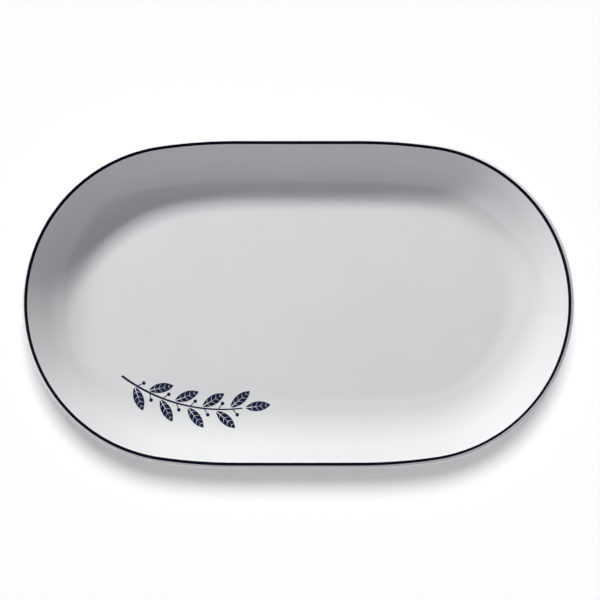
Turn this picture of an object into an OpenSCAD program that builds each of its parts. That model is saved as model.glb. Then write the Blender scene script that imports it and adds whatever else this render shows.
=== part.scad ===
// Oval serving platter in glazed porcelain, 36 cm long.
// The dish is one section carried round an oval of eight tangent stretches: two round ends, four long
// shoulder arcs and two straight runs. The section is a stroke of even thickness: floor edge, cove,
// straight wall and round lip. Each layer (body, glaze, colour) is a part of that same stroke.
// The origin is at the middle of the foot, on the table. +X is along the platter, +Z is up.

/* [Outline] */
// Overall length
length = 360; // [330:5:400]
// Overall width
width = 215; // [205:1:225]
// How far the long sides stand out past the round ends
side_bulge = 2.5; // [2.5, 5]
// Length of the straight run in each long side
straight_l = 80; // [20:5:110]

/* [Section] */
// Distance in plan from the outline to the edge of the flat floor
floor_inset = 46; // [42:1:47]
// Radius of the cove between floor and wall, on the face
cove_r = 51; // [40:1:58]
// Thickness of the glazed wall
wall_t = 4.6; // [4:0.1:6]
// Thickness of the glaze
glaze_t = 0.3; // [0.2:0.05:0.5]

/* [Foot ring] */
// Height of the glazed base above the table
foot_h = 3; // [2.5:0.1:5]
// Distance in plan from the outline to the middle of the foot
foot_inset = 50; // [49:0.5:54]
// Width of the bare flat land that the platter stands on
foot_land = 2.6; // [1.5:0.1:4]
// Radius at the two edges of the land
foot_round = 0.9; // [0.4:0.1:1.2]
// How much wider the foot is at its root, on each side
foot_draft = 1; // [0.4:0.1:1.5]
// Height at which the glaze stops on the sides of the foot
glaze_line = 1.6; // [1.3:0.1:2]

/* [Rim line] */
// Angle from the crest of the lip to the outer edge of the line
band_out = 9; // [0:1:30]
// Angle from the crest of the lip to the inner edge of the line
band_in = 39; // [37:1:50]

/* [Print] */
// Thickness of the printed colour
ink_t = 0.12; // [0.1:0.02:0.2]
// Centre of the arc that the stem follows, along the platter
stem_x = -50; // [-60:1:-40]
// Centre of that arc, across the platter
stem_y = 40; // [35:1:45]
// Radius of that arc
stem_r = 110; // [100:1:118]
// Angle at which the stem starts
stem_from = 233; // [228:1:240]
// Angle at which the stem ends, under the tip leaf
stem_to = 277; // [272:1:280]
// Width of the stem at its foot
stem_w = 1.5; // [1:0.1:2]
// Number of side leaves
leaf_n = 8; // [4:1:9]
// Length of a leaf
leaf_l = 17; // [12:0.5:19]
// Width of a leaf
leaf_w = 6.4; // [4:0.2:7]
// Lean of the leaves from the stem
leaf_lean = 38; // [25:1:50]
// Width of the white midrib left open in each leaf
midrib_w = 0.7; // [0.5:0.1:1]
// Radius of a berry
berry_r = 1.2; // [0.8:0.1:1.3]

/* [Hidden] */
$fn = 144;
// Radius of the round ends, and the centre of each on the long axis.
end_r = width / 2 - side_bulge;
end_c = length / 2 - end_r;
// Half of the straight run, where the shoulder arcs start.
side_c = straight_l / 2;
// The shoulder arc is tangent to the straight run and to the round end.
shoulder_r = end_r + (pow(end_c - side_c, 2) + pow(side_bulge, 2)) / (2 * side_bulge);
shoulder_c = [side_c, width / 2 - shoulder_r];
// The line from the shoulder centre through the end centre is where the two arcs meet.
joint = [end_c - side_c, shoulder_r - width / 2] / (shoulder_r - end_r);
// Far enough to pass the outline, and high enough to pass the rim.
reach = length / 2;
joint_far = [end_c, 0] + reach * joint;
tall = 60;

// Half thickness of the stroke: as glazed, and of the bare body.
glazed = wall_t / 2;
bare = glazed - glaze_t;
// Slope of the wall, from a triangle of 3, 4 and 5, which keeps the joints of the section exact.
run = 4 / 5;
climb = 3 / 5;
half_slope = atan(climb / run) / 2;
// Middle line of the section: cove centre, cove radius, wall, lip.
floor_z = foot_h + wall_t;
mid_r = cove_r + glazed;
cove_c = [-floor_inset, floor_z + cove_r];
cove_end = cove_c + mid_r * [climb, -run];
cove_mid = cove_c + mid_r * [sin(half_slope), -cos(half_slope)];
wall_l = (floor_inset - glazed - mid_r * climb) / run;
lip_c = cove_end + wall_l * [run, climb];
lip_reach = 4 * wall_t;
// Number of flats across the rim line.
band_flats = 6;
// Where the swept section ends inside the foot and the plain flat plate starts.
plate_gap = 10;
plate_inset = foot_inset + plate_gap;
// The foot runs up into the middle of the floor. Half of its width is at the top of its round edges.
foot_top = foot_h + glazed;
foot_half = foot_land / 2 + foot_round;

// Print: the stem's centre, its turn from one leaf to the next, and the radius of a leaf's two arcs.
stem_c = [stem_x, stem_y];
leaf_step = (stem_to - stem_from) / (leaf_n + 1);
leaf_arc = (pow(leaf_l, 2) + pow(leaf_w, 2)) / (4 * leaf_w);
// Gap between the stem and a leaf.
leaf_gap = 1.7;
// Share of its width that the stem loses by its tip, and the number of chords along it.
stem_thin = 0.45;
stem_steps = 16;
// Share of a leaf's length that its midrib takes.
midrib_l = 0.78;
// Distance of a berry from the stem, and width of its stalk.
berry_out = 3.9;
stalk_w = 0.6;
// Where the berry and its stalk sit after the leaf, as shares of a step.
berry_on = 0.6;
stalk_on = 0.3;

porcelain = [0.93, 0.92, 0.89];
white_glaze = [0.97, 0.97, 0.96];
navy = [0.05, 0.08, 0.25];

// The node to draw

// Oval in plan

// Plan of one round end, between the two joint lines.
module end_zone() {
    polygon([
        [end_c, 0],
        joint_far,
        [end_c + 2 * reach, joint_far.y],
        [end_c + 2 * reach, -joint_far.y],
        [joint_far.x, -joint_far.y],
    ]);
}

// Plan of one shoulder, between the straight run and the joint line.
module shoulder_zone() {
    polygon([[side_c, 0], [end_c, 0], joint_far, [side_c, joint_far.y]]);
}

// Filled oval, set in from the outline.
module oval(inset) {
    square([straight_l, width - 2 * inset], center = true);
    for (left = [0, 1]) mirror([left, 0]) {
        intersection() {
            translate([end_c, 0]) circle(end_r - inset);
            end_zone();
        }
        for (front = [0, 1]) mirror([0, front]) intersection() {
            translate(shoulder_c) circle(shoulder_r - inset);
            shoulder_zone();
        }
    }
}

// Carries a section round the oval. In the section x = 0 is on the outline and x points outward.
module around_oval() {
    for (left = [0, 1]) mirror([left, 0, 0]) {
        intersection() {
            translate([end_c, 0, 0]) rotate_extrude() translate([end_r, 0]) children();
            linear_extrude(tall) end_zone();
        }
        for (front = [0, 1]) mirror([0, front, 0]) intersection() {
            translate(shoulder_c) rotate_extrude() translate([shoulder_r, 0]) children();
            linear_extrude(tall) shoulder_zone();
        }
    }
    for (front = [0, 1]) mirror([0, front, 0])
        translate([-side_c, width / 2, 0]) rotate([90, 0, 90]) linear_extrude(straight_l) children();
}

// Flat oval plate inside the swept section.
module floor_plate(z, t) {
    translate([0, 0, z]) linear_extrude(t) oval(plate_inset);
}

// Section

// All within half of the middle line: edge of the floor, cove, wall and lip.
module stroke(half) {
    translate([-plate_inset, floor_z - glazed - half]) square([plate_inset - floor_inset, 2 * half]);
    difference() {
        intersection() {
            translate(cove_c) circle(mid_r + half);
            polygon([cove_c, cove_c - [0, 2 * mid_r], cove_c + 2 * mid_r * [climb, -run]]);
        }
        translate(cove_c) circle(mid_r - half);
    }
    polygon([
        cove_end + half * [climb, -run],
        lip_c + half * [climb, -run],
        lip_c - half * [climb, -run],
        cove_end - half * [climb, -run],
    ]);
    translate(lip_c) circle(half);
}

// Foot with a flat land, round edges and drafted sides, thickened by grow.
module foot(grow) {
    translate([-foot_inset, 0]) {
        for (side = [-1, 1]) translate([side * foot_land / 2, foot_round]) circle(foot_round + grow);
        polygon([
            [-foot_land / 2, 0],
            [foot_land / 2, 0],
            [foot_half + grow, foot_round],
            [foot_half + foot_draft + grow, foot_top],
            [-foot_half - foot_draft - grow, foot_top],
            [-foot_half - grow, foot_round],
        ]);
    }
}

module body_section() {
    stroke(bare);
    foot(0);
}

// The coat on the whole section, down to the glaze line on the foot.
module coat_section() {
    difference() {
        union() {
            stroke(glazed);
            foot(glaze_t);
        }
        body_section();
        translate([-plate_inset, -wall_t]) square([plate_inset, wall_t + glaze_line]);
    }
}

// The part of the lip that carries the rim line.
module band_zone() {
    translate(lip_c) polygon([
        [0, 0],
        lip_reach * [sin(band_out), cos(band_out)],
        lip_reach * [-sin(band_in), cos(band_in)],
    ]);
}

// The rim line fills its part of the coat in short flats that touch the lip of the body.
module band_section() {
    turn = (band_in + band_out) / band_flats;
    at = function (r, i) lip_c + r * [sin(band_out - i * turn), cos(band_out - i * turn)];
    polygon([
        for (i = [0:band_flats]) at(glazed, i),
        for (i = [band_flats:-1:0]) at(bare / cos(turn / 2), i),
    ]);
}

// Everything on the face side of the section. Its edge runs inside the wall, close to the middle line.
module face_zone() {
    polygon([
        lip_c,
        cove_end,
        cove_mid,
        [-floor_inset, floor_z - glazed],
        [-plate_inset, floor_z - glazed],
        [-plate_inset, tall],
        [lip_c.x, tall],
    ]);
}

// Everything inside the foot ring, under the floor.
module base_zone() {
    translate([-plate_inset, 0]) square([plate_inset - foot_inset, floor_z - glazed]);
}

// Print in plan

// Point on the stem's arc, or at a distance from it.
function on_stem(a, off = 0) = stem_c + (stem_r + off) * [cos(a), sin(a)];

// Leaves and berries take turns on the two sides of the stem.
function side_at(i) = i % 2 == 0 ? 1 : -1;

// A berry sits across the stem from its leaf, over half a step further on.
function berry_c(i) = on_stem(stem_from + (i + berry_on) * leaf_step, side_at(i) * berry_out);

// The stalk of a berry, from the stem to the middle of the berry.
module stalk(i) {
    root = on_stem(stem_from + (i + stalk_on) * leaf_step);
    way = berry_c(i) - root;
    across = stalk_w / 2 * [-way.y, way.x] / norm(way);
    polygon([root - across, berry_c(i) - across, berry_c(i) + across, root + across]);
}

// The stem thins from its foot to its tip, and a short stalk runs to the edge of each berry.
module stem_shape() {
    side_of = function (i, side) let (
        a = stem_from + (stem_to - stem_from) * i / stem_steps,
        half = stem_w * (1 - stem_thin * i / stem_steps) / 2
    ) on_stem(a, side * half);
    polygon([
        for (i = [0:stem_steps]) side_of(i, 1),
        for (i = [stem_steps:-1:0]) side_of(i, -1),
    ]);
    difference() {
        for (i = [1:leaf_n]) stalk(i);
        berries_shape();
    }
}

// A leaf of two equal arcs along +X, with its midrib left open as a tapering slit.
module leaf() {
    difference() {
        intersection_for (side = [-1, 1])
            translate([leaf_l / 2, side * (leaf_arc - leaf_w / 2)]) circle(leaf_arc);
        polygon([[-midrib_w, -midrib_w / 2], [midrib_l * leaf_l, 0], [-midrib_w, midrib_w / 2]]);
    }
}

// Leaves lean forward on alternate sides, and one ends the stem.
module leaves_shape() {
    for (i = [1:leaf_n]) {
        a = stem_from + i * leaf_step;
        translate(on_stem(a)) rotate(a + 90 + side_at(i) * leaf_lean) translate([leaf_gap, 0]) leaf();
    }
    translate(on_stem(stem_to)) rotate(stem_to + 90) translate([leaf_gap, 0]) leaf();
}

// The berries.
module berries_shape() {
    for (i = [1:leaf_n]) translate(berry_c(i)) circle(berry_r);
}

// The printed layer on the face, kept where a shape in plan falls on it.
module printed() {
    intersection() {
        union() {
            around_oval() intersection() {
                difference() {
                    stroke(glazed + ink_t);
                    stroke(glazed);
                }
                face_zone();
            }
            floor_plate(floor_z, ink_t);
        }
        linear_extrude(tall) children();
    }
}

// Nodes

module porcelain_body() {
    color(porcelain) {
        around_oval() body_section();
        floor_plate(foot_h + glaze_t, wall_t - 2 * glaze_t);
    }
}

module face_glaze() {
    color(white_glaze) {
        around_oval() difference() {
            intersection() {
                coat_section();
                face_zone();
            }
            band_zone();
        }
        floor_plate(floor_z - glaze_t, glaze_t);
    }
}

module back_glaze() {
    color(white_glaze) around_oval() difference() {
        coat_section();
        face_zone();
        band_zone();
        base_zone();
    }
}

module base_glaze() {
    color(white_glaze) {
        around_oval() intersection() {
            coat_section();
            base_zone();
        }
        floor_plate(foot_h, glaze_t);
    }
}

module rim_band() {
    color(navy) around_oval() band_section();
}

module sprig_stem() {
    color(navy) printed() stem_shape();
}

module sprig_leaves() {
    color(navy) printed() leaves_shape();
}

module sprig_berries() {
    color(navy) printed() berries_shape();
}

porcelain_body();
face_glaze();
back_glaze();
base_glaze();
rim_band();
sprig_stem();
sprig_leaves();
sprig_berries();
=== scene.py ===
# %% [markdown]
# # A porcelain serving platter
# This lesson dresses a measured model of a long oval platter: white porcelain under a clear glaze, a
# navy line round the rim and a small navy leaf print. The measured model gives the size and place of
# every layer. It could be shown as it is, but its facets would break the reflections on a glossy glaze.
# So each layer gets a fine smooth mesh and a finish here, and the whole is lit and photographed from
# above.

# %% Load the measured model
import math

import bmesh
import bpy
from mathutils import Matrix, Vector


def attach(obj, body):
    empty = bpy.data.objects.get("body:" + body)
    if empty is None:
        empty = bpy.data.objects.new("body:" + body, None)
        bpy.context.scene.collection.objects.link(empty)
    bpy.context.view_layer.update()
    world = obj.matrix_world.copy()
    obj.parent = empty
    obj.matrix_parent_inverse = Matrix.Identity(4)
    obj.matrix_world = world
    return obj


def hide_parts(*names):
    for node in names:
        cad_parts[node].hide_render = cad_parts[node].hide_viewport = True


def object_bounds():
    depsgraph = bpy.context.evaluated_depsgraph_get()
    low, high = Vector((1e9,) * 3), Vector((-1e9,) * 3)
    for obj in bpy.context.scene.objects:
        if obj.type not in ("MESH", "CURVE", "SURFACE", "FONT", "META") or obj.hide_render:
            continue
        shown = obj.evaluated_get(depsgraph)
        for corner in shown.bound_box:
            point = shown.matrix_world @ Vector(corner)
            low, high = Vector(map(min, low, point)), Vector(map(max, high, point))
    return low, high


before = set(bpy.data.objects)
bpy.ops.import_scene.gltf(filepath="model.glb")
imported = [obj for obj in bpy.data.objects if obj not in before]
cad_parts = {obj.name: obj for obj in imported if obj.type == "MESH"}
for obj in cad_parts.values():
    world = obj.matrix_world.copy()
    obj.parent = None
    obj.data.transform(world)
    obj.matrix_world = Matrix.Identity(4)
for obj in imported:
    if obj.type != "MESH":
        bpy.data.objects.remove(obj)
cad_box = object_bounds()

mm = 0.001
print("layers:", ", ".join(sorted(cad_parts)))
print("size in mm:", [round(s / mm, 1) for s in cad_box[1] - cad_box[0]])

# %% [markdown]
# ## Camera
# The photograph looks straight down into the platter, so the rim is an undistorted oval in the frame. An
# orthographic camera would show the same outline, but a long lens from well above also keeps the slight
# widening of the rim over the floor, as a real lens does. The distance follows from how many pixels the
# platter covers, and the small offset from where its centre falls.

# %% Place the camera above the well
FRAME_PX = 600
PLATTER_PX = 553.3
CENTRE_PX = (297.8, 303.4)
LENS_MM = 120

LENGTH = 360 * mm
per_px = LENGTH / PLATTER_PX

camera_data = bpy.data.cameras.new("camera")
camera_data.lens = LENS_MM
half_view = math.atan(camera_data.sensor_width / 2 / LENS_MM)
reach = FRAME_PX * per_px / 2 / math.tan(half_view)
camera = bpy.data.objects.new("camera", camera_data)
camera.location = (
    (FRAME_PX / 2 - CENTRE_PX[0]) * per_px,
    (CENTRE_PX[1] - FRAME_PX / 2) * per_px,
    cad_box[1].z + reach,
)
bpy.context.collection.objects.link(camera)
bpy.context.scene.camera = camera
print(f"camera {camera.location.z:.3f} m above the table, {per_px / mm:.3f} mm to a pixel")

# %% [markdown]
# ## The oval
# A potter's template for this shape is drawn with a compass: round ends, very long arcs for the
# shoulders and a short straight run in each long side, all tangent. A Bezier circle could be pulled into
# a similar oval, but its bends would only be near the true arcs. Going round the template once gives a
# list of columns, each with a point on the outline and the direction outward. Any other ring of the
# platter is the same list moved inward, so every layer can share these columns and their edges line up
# exactly.

# %% Arcs of the outline
WIDTH = 215 * mm
END_R = 105 * mm
STRAIGHT = 80 * mm

end_c = LENGTH / 2 - END_R
side_c = STRAIGHT / 2
side_bulge = WIDTH / 2 - END_R
shoulder_r = END_R + ((end_c - side_c) ** 2 + side_bulge**2) / (2 * side_bulge)
shoulder_y = WIDTH / 2 - shoulder_r
joint = math.atan2(-shoulder_y, end_c - side_c)
print(f"shoulder radius {shoulder_r / mm:.2f} mm, joint at {math.degrees(joint):.2f} degrees")

# %% Walk once round the outline
END_STEPS, SHOULDER_STEPS, STRAIGHT_STEPS = 48, 10, 8


def quarter():
    """Outline points and outward normals from the tip of the right end to the middle of the far side."""
    out = []
    for i in range(END_STEPS):
        a = joint * i / END_STEPS
        n = (math.cos(a), math.sin(a))
        out.append((end_c + END_R * n[0], END_R * n[1], *n))
    for i in range(SHOULDER_STEPS):
        a = joint + (math.pi / 2 - joint) * i / SHOULDER_STEPS
        n = (math.cos(a), math.sin(a))
        out.append((side_c + shoulder_r * n[0], shoulder_y + shoulder_r * n[1], *n))
    for i in range(STRAIGHT_STEPS + 1):
        out.append((side_c * (1 - i / STRAIGHT_STEPS), WIDTH / 2, 0.0, 1.0))
    return out


def mirrored(points, sx, sy):
    """The same points in another quarter of the plan."""
    return [(x * sx, y * sy, nx * sx, ny * sy) for x, y, nx, ny in points]


first = quarter()
columns = (
    first[:-1]
    + mirrored(first[::-1], -1, 1)[:-1]
    + mirrored(first, -1, -1)[:-1]
    + mirrored(first[::-1], 1, -1)[:-1]
)
print(len(columns), "columns round the outline")

# %% [markdown]
# ## The section
# Cut the platter across and the same curve shows everywhere: a flat floor, a cove, a straight sloping
# wall and a round lip, with the back parallel to the face. A section point is a pair (x, z) in which x
# is 0 on the outline and negative inward. A Solidify modifier could thicken one surface, but the lip
# would come out square, so both sides of the section are worked out from the same few sizes.

# %% Values of the section
FLOOR_INSET = 46 * mm
COVE_R = 51 * mm
WALL_RISE = 0.75
WALL_T = 4.6 * mm
FOOT_H = 3 * mm

slope = math.atan(WALL_RISE)
lip_r = WALL_T / 2
floor_z = FOOT_H + WALL_T
cove_c = (-FLOOR_INSET, floor_z + COVE_R)
mid_r = COVE_R + lip_r
wall_l = (FLOOR_INSET - lip_r - mid_r * math.sin(slope)) / math.cos(slope)
lip_c = (
    cove_c[0] + mid_r * math.sin(slope) + wall_l * math.cos(slope),
    cove_c[1] - mid_r * math.cos(slope) + wall_l * math.sin(slope),
)
print(f"wall {wall_l / mm:.1f} mm long, crest at {(lip_c[1] + lip_r) / mm:.1f} mm")

# %% [markdown]
# ## Lines of the face and the back
# The face is what food touches and the back is what fingers hold, and on the real platter both carry a
# coat of glaze over the porcelain. Two separate sets of lines could be drawn for coat and body. Here
# each line is written once with a depth instead: a depth of zero is the surface of the glaze, and the
# thickness of the coat is the porcelain under it, so the two can never drift apart.

# %% Lines of the face and the back
COVE_STEPS, WALL_STEPS, LIP_STEPS, INNER_LIP_STEPS = 26, 9, 30, 10


def arc(centre, r, start, end, steps):
    """Points on an arc, with angles from the outward direction towards up."""
    angles = [start + (end - start) * i / steps for i in range(steps + 1)]
    return [(centre[0] + r * math.cos(a), centre[1] + r * math.sin(a)) for a in angles]


def line(a, b, steps):
    """Points between two ends, without the ends."""
    return [tuple(p + (q - p) * i / steps for p, q in zip(a, b)) for i in range(1, steps)]


def face_line(depth, lip_angle):
    """From the edge of the floor up the face to an angle on the lip, counted inward from the crest."""
    cove = arc(cove_c, COVE_R + depth, -math.pi / 2, slope - math.pi / 2, COVE_STEPS)
    lip = arc(lip_c, lip_r - depth, math.pi / 2 + slope, math.pi / 2 + lip_angle, INNER_LIP_STEPS)
    return cove + line(cove[-1], lip[0], WALL_STEPS) + lip


def back_line(depth, lip_angle):
    """From an angle on the lip round its outside and down the back to the edge of the flat base."""
    lip = arc(lip_c, lip_r - depth, math.pi / 2 + lip_angle, slope - math.pi / 2, LIP_STEPS)
    cove = arc(cove_c, COVE_R + WALL_T - depth, slope - math.pi / 2, -math.pi / 2, COVE_STEPS)
    return lip + line(lip[-1], cove[0], WALL_STEPS) + cove


print(f"{len(face_line(0, 0))} points on the face line and {len(back_line(0, 0))} on the back line")

# %% [markdown]
# ## From section to mesh
# A plate maker turns or presses the section round the whole form in one go. Blender can sweep a profile
# along a curve too, but a curve object gives little control over where its edges fall. A short loop does
# better: put every section point on every column and join neighbours with quads.

# %% Sweep a section round the oval


def on_column(column, point):
    """The place in space of a section point on one column."""
    x, y, nx, ny = column
    out, z = point
    return (x + out * nx, y + out * ny, z)


def ring(bm, point):
    """One section point on every column."""
    return [bm.verts.new(on_column(c, point)) for c in columns]


def join_rings(bm, rings):
    """Quads between each ring and the next."""
    for a, b in zip(rings, rings[1:]):
        for i in range(len(a)):
            j = (i + 1) % len(a)
            bm.faces.new((a[i], a[j], b[j], b[i]))


print("helpers:", on_column.__name__, ring.__name__, join_rings.__name__)

# %% Smooth faces between sharp edges
SHARP = math.radians(40)


def finish_mesh(bm, name, material):
    """Turns a bmesh into an object with outward normals and smooth faces between sharp edges."""
    bmesh.ops.recalc_face_normals(bm, faces=bm.faces)
    mesh = bpy.data.meshes.new(name)
    bm.to_mesh(mesh)
    bm.free()
    mesh.shade_smooth()
    mesh.set_sharp_from_angle(angle=SHARP)
    mesh.materials.append(material)
    piece = bpy.data.objects.new(name, mesh)
    bpy.context.collection.objects.link(piece)
    return piece


print(f"edges over {math.degrees(SHARP):.0f} degrees stay sharp")

# %% [markdown]
# ## Floor and closed pieces
# The floor of the well is one flat oval. A single large face or a fan of triangles would fill it, but
# long thin faces spoil smooth shading, and the pole of a fan shows in a glossy floor. Straight rows of
# quads from one long side to the other keep it clean. With that fill, a section from floor to base
# closes into a dish, and a section that is a loop closes into a hoop.

# %% Fill the floor
FLOOR_CELLS = 18


def fill_across(bm, loop):
    """Fills a flat oval loop with rows of quads that run from one long side to the other."""
    half = len(loop) // 2
    rows = []
    for i in range(1, half):
        a, b = loop[i], loop[-i]
        inner = [bm.verts.new(a.co.lerp(b.co, k / FLOOR_CELLS)) for k in range(1, FLOOR_CELLS)]
        rows.append([a, *inner, b])
    for p, q in zip(rows, rows[1:]):
        for k in range(FLOOR_CELLS):
            bm.faces.new((p[k], p[k + 1], q[k + 1], q[k]))
    for tip, row in ((loop[0], rows[0]), (loop[half], rows[-1])):
        for k in range(FLOOR_CELLS):
            bm.faces.new((tip, row[k], row[k + 1]))


print("a floor row has", FLOOR_CELLS, "cells")

# %% Close the pieces


def dish(name, section, material):
    """A closed piece whose section runs from one flat floor to the other."""
    bm = bmesh.new()
    rings = [ring(bm, p) for p in section]
    join_rings(bm, rings)
    fill_across(bm, rings[0])
    fill_across(bm, rings[-1])
    return finish_mesh(bm, name, material)


def hoop(name, section, material):
    """A closed piece whose section is a closed loop."""
    bm = bmesh.new()
    rings = [ring(bm, p) for p in section]
    join_rings(bm, rings + rings[:1])
    return finish_mesh(bm, name, material)


def told(piece, node, slot):
    """Ties a piece to the model: it moves with it and stands for a layer. The slot is not used."""
    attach(piece, "root")
    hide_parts(node)
    print(f"{piece.name}: {len(piece.data.vertices)} points, {len(piece.data.polygons)} faces")
    return piece


print("helpers:", dish.__name__, hoop.__name__, told.__name__)

# %% [markdown]
# ## The fired glaze as a node group
# White glaze, navy line and navy print are all the same glassy coat with different colour in it. Fired
# glaze is never quite even: it pools a little, its gloss wanders and its skin has a faint ripple like
# the peel of an orange. Each material could hold its own noise, but one node group keeps the three
# changes alike. It makes them from noise in the object's own space, and each material sets how strong
# they are.

# %% Small helpers for nodes


def adjust(node, **settings):
    """Sets a node's properties, or its inputs where the name is one of them."""
    for key, value in settings.items():
        if hasattr(node, key):
            setattr(node, key, value)
        else:
            node.inputs[key.replace("_", " ")].default_value = value
    return node


def put(tree, kind, **settings):
    """Adds a node with its settings."""
    return adjust(tree.nodes.new(kind), **settings)


def feed(tree, source, target):
    """Links a socket to an input, or sets the input where the source is a plain value."""
    if isinstance(source, bpy.types.NodeSocket):
        tree.links.new(source, target)
    else:
        target.default_value = source


print("helpers:", adjust.__name__, put.__name__, feed.__name__)

# %% Noise and what it changes
NOISE_LOW, NOISE_HIGH = 0.3, 0.7
COLOUR_A, COLOUR_B, COLOUR_OUT = 6, 7, 2


def noise(tree, place, scale, detail):
    """Cloudy values between nought and one, most of them near the middle."""
    node = put(tree, "ShaderNodeTexNoise", Scale=scale, Detail=detail)
    tree.links.new(place, node.inputs["Vector"])
    return node.outputs["Fac"]


def spread(tree, value, low, high):
    """Stretches a noise value to run from low to high, where both are sockets or numbers."""
    node = put(tree, "ShaderNodeMapRange", From_Min=NOISE_LOW, From_Max=NOISE_HIGH)
    tree.links.new(value, node.inputs["Value"])
    feed(tree, low, node.inputs["To Min"])
    feed(tree, high, node.inputs["To Max"])
    return node.outputs["Result"]


def blend(tree, share, a, b):
    """Goes from colour a to colour b by a share, where both are sockets or values."""
    node = put(tree, "ShaderNodeMix", data_type="RGBA")
    tree.links.new(share, node.inputs["Factor"])
    feed(tree, a, node.inputs[COLOUR_A])
    feed(tree, b, node.inputs[COLOUR_B])
    return node.outputs[COLOUR_OUT]


print("helpers:", noise.__name__, spread.__name__, blend.__name__)

# %% Group for tone, gloss and ripple
GLAZE_SOCKETS = (
    ("INPUT", "NodeSocketColor", ("Thin Colour", "Deep Colour")),
    ("INPUT", "NodeSocketFloat", ("Smooth", "Dull")),
    ("OUTPUT", "NodeSocketColor", ("Colour",)),
    ("OUTPUT", "NodeSocketFloat", ("Roughness", "Ripple")),
)
# Scale and detail of each noise
POOL_NOISE, GLOSS_NOISE, RIPPLE_NOISE = (26, 3), (60, 2), (150, 2)


def fired_glaze_group():
    """Pooled tone, wandering gloss and ripple."""
    tree = bpy.data.node_groups.new("fired_glaze", "ShaderNodeTree")
    for way, kind, names in GLAZE_SOCKETS:
        for name in names:
            tree.interface.new_socket(name, in_out=way, socket_type=kind)
    given = tree.nodes.new("NodeGroupInput")
    wanted = tree.nodes.new("NodeGroupOutput")
    place = tree.nodes.new("ShaderNodeTexCoord").outputs["Object"]

    pooled = spread(tree, noise(tree, place, *POOL_NOISE), 0, 1)
    tone = blend(tree, pooled, given.outputs["Thin Colour"], given.outputs["Deep Colour"])
    wander = noise(tree, place, *GLOSS_NOISE)
    gloss = spread(tree, wander, given.outputs["Smooth"], given.outputs["Dull"])
    tree.links.new(tone, wanted.inputs["Colour"])
    tree.links.new(gloss, wanted.inputs["Roughness"])
    tree.links.new(noise(tree, place, *RIPPLE_NOISE), wanted.inputs["Ripple"])
    return tree


fired_glaze = fired_glaze_group()
print("group sockets:", [s.name for s in fired_glaze.interface.items_tree])

# %% [markdown]
# ## Glaze materials
# The white is opaque porcelain seen through a clear glass skin, and the navy is pigment that has melted
# into that skin. A single glossy white would do from afar. A Principled shader with its clear coat
# turned on is closer: the coat mirrors the room over a softer body. The pigment is duller, so it goes
# without the coat. The ripple goes through a Bump node with a height of a few hundredths of a
# millimetre, which is enough to soften a reflection without showing as a pattern.

# %% A glaze from its colours and its gloss
COAT_ROUGHNESS = 0.05
COATED_GLOSS, PIGMENT_GLOSS = 0.5, 0.1


def glazed(name, thin, deep, smooth, dull, ripple, coat):
    """A glaze between two colours and between two values of roughness, with or without a clear coat."""
    material = bpy.data.materials.new(name)
    material.use_nodes = True
    tree = material.node_tree
    shader = adjust(tree.nodes["Principled BSDF"], Coat_Weight=coat, Coat_Roughness=COAT_ROUGHNESS)
    adjust(shader, Specular_IOR_Level=COATED_GLOSS if coat else PIGMENT_GLOSS)
    skin = put(tree, "ShaderNodeGroup", node_tree=fired_glaze, Smooth=smooth, Dull=dull)
    adjust(skin, Thin_Colour=(*thin, 1), Deep_Colour=(*deep, 1))
    bump = put(tree, "ShaderNodeBump", Distance=ripple)
    tree.links.new(skin.outputs["Colour"], shader.inputs["Base Color"])
    tree.links.new(skin.outputs["Roughness"], shader.inputs["Roughness"])
    tree.links.new(skin.outputs["Ripple"], bump.inputs["Height"])
    tree.links.new(bump.outputs["Normal"], shader.inputs["Normal"])
    return material


print("helper:", glazed.__name__)

# %% White glaze, navy line and navy print
white_glaze = glazed(
    "clear_white",
    thin=(0.805, 0.81, 0.815),
    deep=(0.785, 0.79, 0.80),
    smooth=0.06,
    dull=0.11,
    ripple=0.03 * mm,
    coat=1,
)
navy_line = glazed(
    "banded_navy",
    thin=(0.003, 0.004, 0.016),
    deep=(0.0015, 0.002, 0.009),
    smooth=0.20,
    dull=0.32,
    ripple=0.04 * mm,
    coat=0,
)
navy_print = glazed(
    "printed_navy",
    thin=(0.013, 0.019, 0.062),
    deep=(0.006, 0.010, 0.036),
    smooth=0.22,
    dull=0.34,
    ripple=0.03 * mm,
    coat=0,
)
print("made", white_glaze.name, navy_line.name, navy_print.name)

# %% [markdown]
# ## Bare porcelain
# Only the land of the foot is left unglazed, because glaze there would stick the platter to the kiln
# shelf. Fired bare porcelain is smooth but matt, a little warmer than the glaze, with fine grain and
# grey rubbing from tables. No other finish here is like it, so its three noises sit in the material
# itself and not in a group.

# %% Bare porcelain
CLEAN, RUBBED = (0.74, 0.70, 0.63, 1), (0.56, 0.54, 0.50, 1)
MATT_LOW, MATT_HIGH = 0.62, 0.85
GRAIN_H = 0.04 * mm
# Scale and detail of each noise
RUB_NOISE, MATT_NOISE, GRAIN_NOISE = (180, 6), (300, 3), (2500, 3)


def bare_porcelain():
    """Matt porcelain with grey rubbing and a fine grain."""
    material = bpy.data.materials.new("bisque")
    material.use_nodes = True
    tree = material.node_tree
    shader = tree.nodes["Principled BSDF"]
    place = tree.nodes.new("ShaderNodeTexCoord").outputs["Object"]
    rubbing = spread(tree, noise(tree, place, *RUB_NOISE), 0, 1)
    tree.links.new(blend(tree, rubbing, CLEAN, RUBBED), shader.inputs["Base Color"])
    matt = spread(tree, noise(tree, place, *MATT_NOISE), MATT_LOW, MATT_HIGH)
    tree.links.new(matt, shader.inputs["Roughness"])
    bump = put(tree, "ShaderNodeBump", Distance=GRAIN_H)
    tree.links.new(noise(tree, place, *GRAIN_NOISE), bump.inputs["Height"])
    tree.links.new(bump.outputs["Normal"], shader.inputs["Normal"])
    return material


bisque = bare_porcelain()
print("made", bisque.name)

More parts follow.
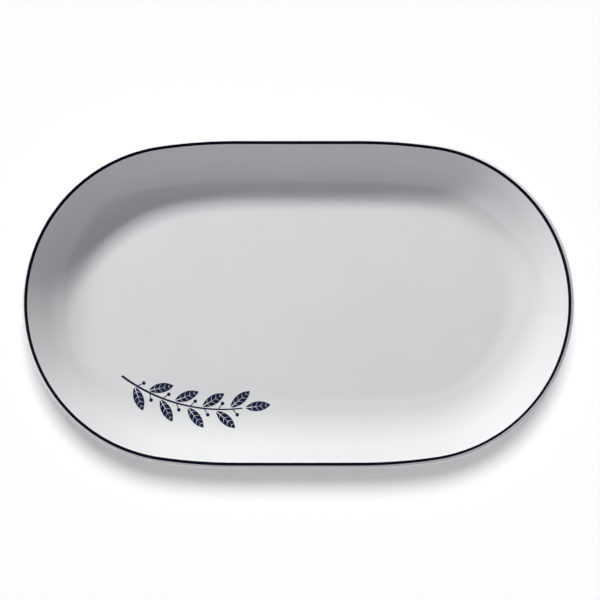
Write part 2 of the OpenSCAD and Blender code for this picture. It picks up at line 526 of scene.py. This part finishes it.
# %% [markdown]
# ## The foot
# Under the platter an oval ring lifts the base off the table. Its land is flat, its edges are rounded
# and its sides lean in. Where glaze runs into the root of the ring it leaves a soft fillet. A Bevel
# modifier could round that corner, but it would round the land too, so the fillet is drawn as a short
# curve between the flat base and the side of the foot.

# %% Sides of the foot
FOOT_INSET = 50 * mm
FOOT_LAND = 2.6 * mm
FOOT_ROUND = 0.9 * mm
FOOT_DRAFT = 1 * mm
foot_half = FOOT_LAND / 2 + FOOT_ROUND
foot_top = FOOT_H + lip_r


def foot_side(side, z, grow):
    """Point on the outer (1) or inner (-1) side of the foot, at a height."""
    share = (z - FOOT_ROUND) / (foot_top - FOOT_ROUND)
    return (-FOOT_INSET + side * (foot_half + FOOT_DRAFT * share + grow), z)


print(f"foot {2 * foot_half / mm:.1f} mm wide, root at inset {-foot_side(1, FOOT_H, 0)[0] / mm:.1f} mm")

# %% Root of the foot
GLAZE_LINE = 1.6 * mm
ROOT_FILLET = 1.0 * mm
FILLET_STEPS = 8


def rounded(before, corner, after, steps):
    """A smooth curve from one point to another, drawn towards the corner between them."""
    out = []
    for i in range(steps + 1):
        t = i / steps
        weights = ((1 - t) ** 2, 2 * t * (1 - t), t * t)
        out.append(tuple(sum(w * p for w, p in zip(weights, axis)) for axis in zip(before, corner, after)))
    return out


def root_line(side, z, grow):
    """From the flat base at a height into the root of the foot and down its side to the glaze line."""
    corner = foot_side(side, z, grow)
    before = (corner[0] + side * ROOT_FILLET, z)
    return rounded(before, corner, foot_side(side, GLAZE_LINE, grow), FILLET_STEPS)


print(len(root_line(1, FOOT_H, 0)), "points round the root of the foot")

# %% [markdown]
# ## The cast body
# The porcelain is cast or pressed in one piece with its foot, so it is one dish here too, from the floor
# over the lip and down to the base, with the foot in its section. Only the land of the foot shows in the
# end. A hidden body could be left out of a picture, but the platter is also used by itself, so it is
# made whole.

# %% Cast body
GLAZE_T = 0.3 * mm
JOIN_ANGLE = math.radians(15)
PLATE_MARGIN = 10 * mm
ROUND_STEPS, LAND_STEPS = 6, 4
base_z = FOOT_H + GLAZE_T
plate_inset = FOOT_INSET + PLATE_MARGIN

land = arc((-FOOT_INSET + FOOT_LAND / 2, FOOT_ROUND), FOOT_ROUND, 0, -math.pi / 2, ROUND_STEPS)
land += line(land[-1], (-FOOT_INSET - FOOT_LAND / 2, 0), LAND_STEPS)
land += arc((-FOOT_INSET - FOOT_LAND / 2, FOOT_ROUND), FOOT_ROUND, -math.pi / 2, -math.pi, ROUND_STEPS)
cast = (
    face_line(GLAZE_T, JOIN_ANGLE)
    + back_line(GLAZE_T, JOIN_ANGLE)[1:]
    + root_line(1, base_z, 0)
    + land
    + root_line(-1, base_z, 0)[::-1]
    + [(-plate_inset, base_z)]
)
told(dish("cast_body", cast, bisque), "porcelain_body", "bare_porcelain")

# %% [markdown]
# ## The glaze coats
# The platter is dipped in glaze, and the foot is wiped clean before firing. That leaves one coat on the
# face, one on the back and one inside the foot ring. The face and back coats meet on the lip, under the
# navy line. A second material on the body would look the same, but a coat with a thickness of its own
# shows its edge at the bare foot, and its mesh can be used by itself.

# %% Glaze coats
face = face_line(0, JOIN_ANGLE) + face_line(GLAZE_T, JOIN_ANGLE)[::-1]
told(dish("face_coat", face, white_glaze), "face_glaze", "white_glaze")

back_out = back_line(0, JOIN_ANGLE) + root_line(1, FOOT_H, GLAZE_T)
back_in = back_line(GLAZE_T, JOIN_ANGLE) + root_line(1, base_z, 0)
told(hoop("back_coat", back_out + back_in[::-1], white_glaze), "back_glaze", "white_glaze")

base = (
    [(-plate_inset, FOOT_H)]
    + root_line(-1, FOOT_H, GLAZE_T)
    + root_line(-1, base_z, 0)[::-1]
    + [(-plate_inset, base_z)]
)
told(dish("base_coat", base, white_glaze), "base_glaze", "white_glaze")

# %% [markdown]
# ## The navy line
# A bander holds a loaded brush against the rim while the ware turns, so the line is a low ridge of
# colour with thin edges. The hand is never quite steady, and towards the end of the turn the brush runs
# dry and the line gets narrower. A coloured stripe in the glaze material would stay flat and would blur
# at its edges. A thin crescent works better: it stands a few hundredths of a millimetre proud of the
# lip, reaches a little into the glaze and thins to nothing at both edges. Its section differs from
# column to column, so that its edges can wander.

# %% Section of the navy line
BAND_OUT, BAND_IN = math.radians(11), math.radians(44)
HAND_WAVES, HAND_SWING = 5, math.radians(2)
DRY_TURN, DRY_SHARP, DRY_SWING = math.radians(328), 24, math.radians(10)
BAND_STEPS = 14
BAND_PROUD = 0.05 * mm
BAND_SUNK = 0.12 * mm
BAND_CROWN = 0.5


def band_edges(turn):
    """Angles of the line's outer and inner edge on the lip, counted inward from the crest."""
    dry = ((1 + math.cos(turn - DRY_TURN)) / 2) ** DRY_SHARP
    return DRY_SWING * dry - BAND_OUT, BAND_IN + HAND_SWING * math.sin(HAND_WAVES * turn)


def band_section(turn):
    """A closed crescent on the lip, from the line's outer edge to its inner edge and back below."""
    outer, inner = band_edges(turn)
    top, bottom = [], []
    for i in range(BAND_STEPS + 1):
        t = i / BAND_STEPS
        a = math.pi / 2 + outer + (inner - outer) * t
        hump = math.sin(math.pi * t) ** BAND_CROWN
        for side, r in ((top, lip_r + BAND_PROUD * hump), (bottom, lip_r - BAND_SUNK * hump)):
            side.append((lip_c[0] + r * math.cos(a), lip_c[1] + r * math.sin(a)))
    return top + bottom[-2:0:-1]


column_turns = [math.atan2(y, x) for x, y, nx, ny in columns]
edge_pairs = [band_edges(turn) for turn in column_turns]
widths = [lip_r * (math.sin(inner) - math.sin(outer)) for outer, inner in edge_pairs]
print(f"line {min(widths) / mm:.2f} to {max(widths) / mm:.2f} mm wide from above")

# %% Navy line on the lip
band_bm = bmesh.new()
sections = [band_section(turn) for turn in column_turns]
band_rings = []
for points in zip(*sections):
    band_rings.append([band_bm.verts.new(on_column(c, p)) for c, p in zip(columns, points)])
join_rings(band_bm, band_rings + band_rings[:1])
told(finish_mesh(band_bm, "navy_rim_line", navy_line), "rim_band", "navy_line")

# %% [markdown]
# ## Height under the print
# A transfer print lies on the curved glaze like wet paper. A Shrinkwrap modifier could press a flat
# drawing onto the face, but it would follow the facets of the mesh. Every printed shape is laid out flat
# in plan instead, as a small grid of points, and each point is lifted to the true height of the face
# below it. The height comes from one number: how far the point is from the outline.

# %% Height of the face under a point


def outline_distance(x, y):
    """How far a point of the plan lies inside the outline, with the direction outward."""
    ax, ay = abs(x), abs(y)
    if ax <= side_c:
        return WIDTH / 2 - ay, (0.0, math.copysign(1, y))
    past_joint = ay * (end_c - side_c) < (ax - end_c) * -shoulder_y
    cx, cy, r = (end_c, 0.0, END_R) if past_joint else (side_c, shoulder_y, shoulder_r)
    away = math.hypot(ax - cx, ay - cy)
    n = ((ax - cx) / away, (ay - cy) / away)
    return r - away, (math.copysign(n[0], x), math.copysign(n[1], y))


def on_face(x, y, lift):
    """The point on the face under (x, y), lifted along the surface's own normal."""
    inset, out = outline_distance(x, y)
    climb = min(max(FLOOR_INSET - inset, 0), COVE_R * math.sin(slope))
    tilt = math.asin(climb / COVE_R)
    z = floor_z + COVE_R * (1 - math.cos(tilt))
    z += max(FLOOR_INSET - inset - climb, 0) * WALL_RISE
    side = -lift * math.sin(tilt)
    return Vector((x + out[0] * side, y + out[1] * side, z + lift * math.cos(tilt)))


TRY_INSET = 30 * mm
tried = on_face(0, TRY_INSET - WIDTH / 2, 0)
print(f"the face {TRY_INSET / mm:.0f} mm inside the rim is {tried.z / mm:.2f} mm high")

# %% [markdown]
# ## Ink with a thickness
# Fired print is a film of glassy ink, a little proud of the glaze and melted a little into it. A picture
# on the glaze could show it, but a film with real edges stays sharp at any distance. Each patch of the
# print is a grid of plan points that becomes a thin closed skin, or a set of rings round one middle
# point for a dot.

# %% A film of ink on the face
INK_PROUD = 0.05 * mm
INK_SUNK = 0.07 * mm


def film_points(bm, point):
    """The upper and the lower point of the film at a point of the plan."""
    return bm.verts.new(on_face(*point, INK_PROUD)), bm.verts.new(on_face(*point, -INK_SUNK))


def film(bm, rows, closed):
    """A thin closed skin under rows of plan points. Closed rows are rings round one middle point."""
    grid = [[film_points(bm, p) for p in row] for row in rows]
    cells = len(rows[0]) if closed else len(rows[0]) - 1
    for p, q in zip(grid, grid[1:]):
        for k in range(cells):
            j = (k + 1) % len(p)
            cell = (p[k], p[j], q[j], q[k]) if len(q) > 1 else (p[k], p[j], q[0])
            bm.faces.new([v[0] for v in cell])
            bm.faces.new([v[1] for v in reversed(cell)])
    if closed:
        edges = [grid[0] + grid[0][:1]]
    else:
        edges = [grid[0], grid[-1], [r[0] for r in grid], [r[-1] for r in grid]]
    for edge in edges:
        for a, b in zip(edge, edge[1:]):
            bm.faces.new((a[0], b[0], b[1], a[1]))


print(f"ink film {(INK_PROUD + INK_SUNK) / mm:.2f} mm thick")

# %% Print a set of patches


def print_patches(name, patches, closed=False):
    """One piece of print from all its patches."""
    bm = bmesh.new()
    for rows in patches:
        film(bm, rows, closed)
    return finish_mesh(bm, name, navy_print)


print("helper:", print_patches.__name__)

# %% [markdown]
# ## Stem and stalks
# The sprig is drawn by rule, as a printer's ornament is: a stem on an arc that thins towards its tip,
# and a short stalk for each berry. A curve with a bevel would make round wires, and ink is flat, so the
# stem is a ribbon of points on both sides of its arc. Each stalk starts on the edge of the stem and ends
# at its berry, so that no two films cross.

# %% Places along the stem
STEM_C = Vector((-50 * mm, 40 * mm))
STEM_R = 110 * mm
STEM_FROM, STEM_TO = math.radians(233), math.radians(277)
STEM_W, STEM_THIN = 1.5 * mm, 0.45
LEAF_N = 8

leaf_step = (STEM_TO - STEM_FROM) / (LEAF_N + 1)


def on_stem(i, off=0.0):
    """Point beside the stem, with the place along it counted in steps from leaf to leaf."""
    a = STEM_FROM + i * leaf_step
    return STEM_C + (STEM_R + off) * Vector((math.cos(a), math.sin(a)))


def stem_half(i):
    """Half the width of the stem at a place along it."""
    return STEM_W * (1 - STEM_THIN * i / (LEAF_N + 1)) / 2


def side_at(i):
    """Leaves and berries take turns on the two sides of the stem."""
    return 1 if i % 2 == 0 else -1


stem_l = STEM_R * (STEM_TO - STEM_FROM)
print(f"stem {stem_l / mm:.0f} mm long, a leaf every {STEM_R * leaf_step / mm:.1f} mm")

# %% Stem
STEM_STEPS = 80


def stem_rows():
    """Points across the stem, row by row from its root to its tip."""
    places = [(LEAF_N + 1) * k / STEM_STEPS for k in range(STEM_STEPS + 1)]
    return [[on_stem(i, stem_half(i) * s) for s in (-1, 0, 1)] for i in places]


stem_patches = [stem_rows()]
print("stem of", STEM_STEPS, "steps")

# %% Stalks
BERRY_R, BERRY_OUT = 1.2 * mm, 3.9 * mm
BERRY_ON, STALK_ON = 0.6, 0.3
STALK_W, STALK_STEPS = 0.6 * mm, 6


def stem_edge(i, start, ahead):
    """How far a line from a start inside the stem runs ahead until it meets the stem's edge."""
    q = start - STEM_C
    b = q.dot(ahead)
    edge_r = STEM_R + side_at(i) * stem_half(i)
    return -b + side_at(i) * math.sqrt(b * b - q.length_squared + edge_r**2)


def stalk_rows(i):
    """Points across a stalk, from the edge of the stem to the edge of its berry."""
    root = on_stem(i + STALK_ON)
    way = on_stem(i + BERRY_ON, side_at(i) * BERRY_OUT) - root
    ahead = way.normalized()
    across = Vector((-ahead.y, ahead.x)) * STALK_W / 2
    sides = []
    for start in (root - across, root + across):
        low, high = stem_edge(i, start, ahead), way.length - BERRY_R
        lengths = [low + (high - low) * k / STALK_STEPS for k in range(STALK_STEPS + 1)]
        sides.append([start + ahead * length for length in lengths])
    return list(zip(*sides))


stem_patches += [stalk_rows(i) for i in range(1, LEAF_N + 1)]
told(print_patches("sprig_stem_print", stem_patches), "sprig_stem", "navy_print")

# %% [markdown]
# ## Leaves
# A leaf is two equal arcs with its veins left open as tapering gaps, the way a cut stamp leaves them.
# Veins could be cut with Boolean modifiers, which often leave ragged meshes on thin films. Here each
# half of a leaf is printed as a few slanted strips with gaps between them, so the veins are simply where
# no ink lies.

# %% Points of a leaf
LEAF_L, LEAF_W = 17 * mm, 6.4 * mm
LEAF_GAP = 1.7 * mm
MIDRIB_W, MIDRIB_L, MIDRIB_TIP = 0.7 * mm, 0.78, 0.02 * mm
VEIN_SLANT = 0.5

leaf_arc = (LEAF_L**2 + LEAF_W**2) / (4 * LEAF_W)


def leaf_point(root, heading, side, s, t):
    """Point of a leaf: s runs along the midrib, t from the midrib to the edge."""
    u = LEAF_L * (s + VEIN_SLANT * t * s * (1 - s))
    edge = math.sqrt(leaf_arc**2 - (u - LEAF_L / 2) ** 2) - (leaf_arc - LEAF_W / 2)
    rib = max(MIDRIB_TIP, MIDRIB_W / 2 * (1 - u / (MIDRIB_L * LEAF_L)))
    v = side * (rib + (max(edge, rib) - rib) * t)
    along = Vector((math.cos(heading), math.sin(heading)))
    return root + along * (LEAF_GAP + u) + Vector((-along.y, along.x)) * v


print(f"leaf arcs of {leaf_arc / mm:.2f} mm")

# %% Strips of the leaves
LEAF_LEAN = math.radians(38)
LEAF_FROM, LEAF_TO = 0.03, 0.985
LEAF_STRIPS, STRIP_STEPS, STRIP_CELLS = 5, 7, 5
VEIN_W, VEIN_END = 0.42 * mm, 0.25


def strip_ends(k, t):
    """Where strip k starts and ends along the leaf, with half a vein taken off between strips."""
    gap = VEIN_W / LEAF_L / 2 * (1 - (1 - VEIN_END) * t)
    low, high = (LEAF_FROM + (LEAF_TO - LEAF_FROM) * (k + e) / LEAF_STRIPS for e in (0, 1))
    return low + (gap if k > 0 else 0), high - (gap if k < LEAF_STRIPS - 1 else 0)


def leaf_strip(root, heading, side, k):
    """Points of one strip, row by row along the leaf."""
    rows = []
    for i in range(STRIP_STEPS + 1):
        row = []
        for cell in range(STRIP_CELLS + 1):
            t = cell / STRIP_CELLS
            low, high = strip_ends(k, t)
            row.append(leaf_point(root, heading, side, low + (high - low) * i / STRIP_STEPS, t))
        rows.append(row)
    return rows


leaf_patches = []
for i in range(1, LEAF_N + 2):
    lean = side_at(i) * LEAF_LEAN if i <= LEAF_N else 0
    heading = STEM_FROM + i * leaf_step + math.pi / 2 + lean
    for side in (-1, 1):
        leaf_patches += [leaf_strip(on_stem(i), heading, side, k) for k in range(LEAF_STRIPS)]
told(print_patches("sprig_leaf_print", leaf_patches), "sprig_leaves", "navy_print")

# %% [markdown]
# ## Berries
# Each berry is a dot of ink across the stem from a leaf. A circle primitive would be flat and would cut
# into the cove, so a berry is two rings of plan points round a middle point, lifted onto the face like
# the rest.

# %% Berries
BERRY_STEPS = 32
BERRY_INNER = 0.55


def berry_rows(i):
    """Rings of one berry, from its edge to its middle."""
    middle = on_stem(i + BERRY_ON, side_at(i) * BERRY_OUT)
    turns = [2 * math.pi * k / BERRY_STEPS for k in range(BERRY_STEPS)]
    round_it = [Vector((math.cos(a), math.sin(a))) for a in turns]
    return [[middle + d * r for d in round_it] for r in (BERRY_R, BERRY_INNER * BERRY_R)] + [[middle]]


berry_patches = [berry_rows(i) for i in range(1, LEAF_N + 1)]
told(print_patches("sprig_berry_print", berry_patches, closed=True), "sprig_berries", "navy_print")

# %% [markdown]
# ## Table
# The platter lies on a plain white table that fills the picture. Paper lit until it is full white would
# throw too much light back under the platter. So the table is a pale grey sheet that takes the shadow,
# and it adds a glow of its own for rays that come straight from the camera, a mirror or glass.

# %% Rays that see the table directly


def seen_directly(tree):
    """One for camera, mirror and glass rays, and nought for light that spreads."""
    path = tree.nodes.new("ShaderNodeLightPath")
    total = path.outputs["Is Camera Ray"]
    for name in ("Is Glossy Ray", "Is Transmission Ray"):
        either = put(tree, "ShaderNodeMath", operation="MAXIMUM")
        tree.links.new(total, either.inputs[0])
        tree.links.new(path.outputs[name], either.inputs[1])
        total = either.outputs[0]
    return total


print("helper:", seen_directly.__name__)

# %% Paper with a glow
TABLE_SHADE = 0.7
TABLE_GLOW = 0.2
WHITE = (1, 1, 1, 1)


def table_material():
    """Pale paper that adds its glow where it is seen directly."""
    material = bpy.data.materials.new("white_table")
    material.use_nodes = True
    tree = material.node_tree
    tree.nodes.remove(tree.nodes["Principled BSDF"])
    paper = put(tree, "ShaderNodeBsdfDiffuse", Color=(TABLE_SHADE,) * 3 + (1,))
    glow = put(tree, "ShaderNodeEmission", Color=WHITE)
    strength = put(tree, "ShaderNodeMath", operation="MULTIPLY")
    strength.inputs[1].default_value = TABLE_GLOW
    tree.links.new(seen_directly(tree), strength.inputs[0])
    tree.links.new(strength.outputs[0], glow.inputs["Strength"])
    both = tree.nodes.new("ShaderNodeAddShader")
    tree.links.new(paper.outputs[0], both.inputs[0])
    tree.links.new(glow.outputs[0], both.inputs[1])
    tree.links.new(both.outputs[0], tree.nodes["Material Output"].inputs["Surface"])
    return material


white_table = table_material()
print("made", white_table.name)

# %% Table
TABLE_R, TABLE_SIDES = 12.0, 96
TABLE_DROP = 0.1 * mm

table_bm = bmesh.new()
bmesh.ops.create_circle(table_bm, cap_ends=True, radius=TABLE_R, segments=TABLE_SIDES)
bmesh.ops.translate(table_bm, verts=table_bm.verts, vec=(0, 0, -TABLE_DROP))
table = finish_mesh(table_bm, "table", white_table)
print(f"table {2 * TABLE_R:.0f} m across")

# %% [markdown]
# ## Surround
# A studio for tableware has white cards around the table and a panel above it, which fill the shadow and
# show as pale shapes in the glaze. Real planes could stand there, but they would cast shadows and would
# have to be kept out of the picture. The world can hold them instead. A flat card with a level top is
# every ray whose climb, its height over its distance forward, stays under one value, so its edge in the
# glaze is as straight and crisp as a real one. The panel is long, like the platter, and hangs a little
# askew, so that the floor runs into both ends without a seam. Its edges are soft, and so are those of a
# weaker fill at the left front and of a white horizon.

# %% New world
world = bpy.data.worlds.new("surround")
bpy.context.scene.world = world
world.use_nodes = True
sky = world.node_tree
outward = sky.nodes.new("ShaderNodeTexCoord").outputs["Generated"]
height = put(sky, "ShaderNodeSeparateXYZ")
sky.links.new(outward, height.inputs[0])
print("world", world.name, "made")

# %% Soft steps for the surround


def combine(operation, a, b):
    """A math node on two sockets, or on a socket and a number."""
    node = put(sky, "ShaderNodeMath", operation=operation)
    sky.links.new(a, node.inputs[0])
    feed(sky, b, node.inputs[1])
    return node.outputs[0]


def step(value, low, high, start, end):
    """A soft step from start to end, while a value goes from low to high."""
    node = put(sky, "ShaderNodeMapRange", interpolation_type="SMOOTHSTEP")
    adjust(node, From_Min=low, From_Max=high, To_Min=start, To_Max=end)
    sky.links.new(value, node.inputs["Value"])
    return node.outputs["Result"]


def fade(low, high, start, end):
    """A soft step between two elevations, given in degrees."""
    return step(height.outputs["Z"], math.sin(math.radians(low)), math.sin(math.radians(high)), start, end)


print("helpers:", combine.__name__, step.__name__, fade.__name__)

# %% Cards
FRONT_TURN, FRONT_TOP = math.radians(254), 1.29
RIGHT_TURN, RIGHT_LOW, RIGHT_TOP = math.radians(345), 0.40, 1.08
CARD, CARD_EDGE = 0.389, 0.02
LEAST = 0.001


def reach_along(turn):
    """How far a ray of length one gets along a level line at a turn round the table."""
    along = put(sky, "ShaderNodeVectorMath", operation="DOT_PRODUCT")
    along.inputs[1].default_value = (math.cos(turn), math.sin(turn), 0)
    sky.links.new(outward, along.inputs[0])
    return along.outputs["Value"]


def facing(turn):
    """How squarely a ray heads for a card that stands at a turn round the table."""
    return combine("MAXIMUM", reach_along(turn), LEAST)


def card(turn, low, top):
    """A flat card with level edges, each at a height over the distance to the card."""
    climb = combine("DIVIDE", height.outputs["Z"], facing(turn))
    under = step(climb, top - CARD_EDGE, top + CARD_EDGE, CARD, 0)
    return combine("MULTIPLY", under, step(climb, low - CARD_EDGE, low + CARD_EDGE, 0, 1))


cards = combine("MAXIMUM", card(FRONT_TURN, 0, FRONT_TOP), card(RIGHT_TURN, RIGHT_LOW, RIGHT_TOP))
tops = [round(math.degrees(math.atan(top))) for top in (FRONT_TOP, RIGHT_TOP)]
print("card tops at", *tops, "degrees")

# %% Panel
PANEL, PANEL_TURN = 0.86, math.radians(20)
PANEL_L, PANEL_L_SOFT = 0.85, 0.4
PANEL_W, PANEL_W_SOFT = 0.2, 0.1


def panel_share(turn, half, soft):
    """One under the panel and nought past its soft edge, by the distance along a line over the height."""
    over = combine("DIVIDE", reach_along(turn), combine("MAXIMUM", height.outputs["Z"], LEAST))
    away = combine("MAXIMUM", over, combine("MULTIPLY", over, -1))
    return step(away, half - soft, half + soft, 1, 0)


along_panel = panel_share(PANEL_TURN, PANEL_L, PANEL_L_SOFT)
across_panel = panel_share(PANEL_TURN + math.pi / 2, PANEL_W, PANEL_W_SOFT)
panel = combine("MULTIPLY", combine("MULTIPLY", along_panel, across_panel), PANEL)
print(f"panel {PANEL_L / PANEL_W:.1f} times as long as wide")

# %% Fill and horizon
FILL_TURN, FILL = math.radians(220), 0.28
FILL_LOW, FILL_HIGH = 47, 53
HORIZON_LOW, HORIZON_HIGH = 8, 10
ROOM_TINT = (0.96, 0.925, 1.0, 1)

fill = combine("MULTIPLY", facing(FILL_TURN), fade(FILL_LOW, FILL_HIGH, FILL, 0))
above = combine("ADD", combine("ADD", cards, fill), panel)
horizon = fade(HORIZON_LOW, HORIZON_HIGH, 1, 0)
background = sky.nodes["Background"]
sky.links.new(combine("MAXIMUM", above, horizon), background.inputs["Strength"])
sky.links.new(blend(sky, horizon, ROOM_TINT, WHITE), background.inputs["Color"])
print("surround made of", len(sky.nodes), "nodes")

# %% [markdown]
# ## Soft box and table light
# One lamp gives the face its form. It stands behind the platter and to the left, low enough for the far
# wall to shade the cove under it. A sun lamp would draw a hard edge there, and a large panel none at
# all. A small square box well back from the table gives the soft edge of the photograph. It is hidden
# from mirror rays, because the glaze in the photograph shows no bright patch. So low a lamp would throw
# a long shadow over the table, where the photograph has a short soft one close under the front edge.
# Light linking parts the two: the box leaves the table out, and a wide soft sun, high behind the
# platter, lights the table alone.

# %% A lamp on its stand
LAMP_REACH = 2.6


def lamp_at(name, kind, turn, rise):
    """A lamp at a turn round the table and a rise above it, aimed at the platter."""
    lamp = bpy.data.objects.new(name, bpy.data.lights.new(name, kind))
    flat = math.cos(rise)
    toward = Vector((math.cos(turn) * flat, math.sin(turn) * flat, math.sin(rise)))
    lamp.location = toward * LAMP_REACH
    lamp.rotation_euler = toward.to_track_quat("Z", "Y").to_euler()
    lamp.visible_camera = False
    lamp.visible_glossy = False
    bpy.context.collection.objects.link(lamp)
    print(name, "at", [round(c, 2) for c in lamp.location])
    return lamp


print("lamps stand", LAMP_REACH, "m from the platter")

# %% Soft box
KEY_TURN, KEY_RISE = math.radians(118), math.radians(24)
KEY_SIZE, KEY_POWER = 0.25, 85.9
KEY_TINT = (0.985, 1.0, 0.98)

key = lamp_at("soft_box", "AREA", KEY_TURN, KEY_RISE)
key.data.shape = "SQUARE"
key.data.size = KEY_SIZE
key.data.energy = KEY_POWER
key.data.color = KEY_TINT

# %% Sun for the table
SUN_TURN, SUN_RISE = math.radians(90), math.radians(58)
SUN_SPREAD, SUN_POWER = math.radians(26), 3.1

sun = lamp_at("table_sun", "SUN", SUN_TURN, SUN_RISE)
sun.data.angle = SUN_SPREAD
sun.data.energy = SUN_POWER

# %% What each lamp lights
for lamp, state in ((key, "EXCLUDE"), (sun, "INCLUDE")):
    lit = bpy.data.collections.new(lamp.name + "_lights")
    lit.objects.link(table)
    lit.collection_objects[0].light_linking.link_state = state
    lamp.light_linking.receiver_collection = lit
    print(lamp.name, state.lower(), "table")
bpy.context.scene.view_settings.view_transform = "Standard"
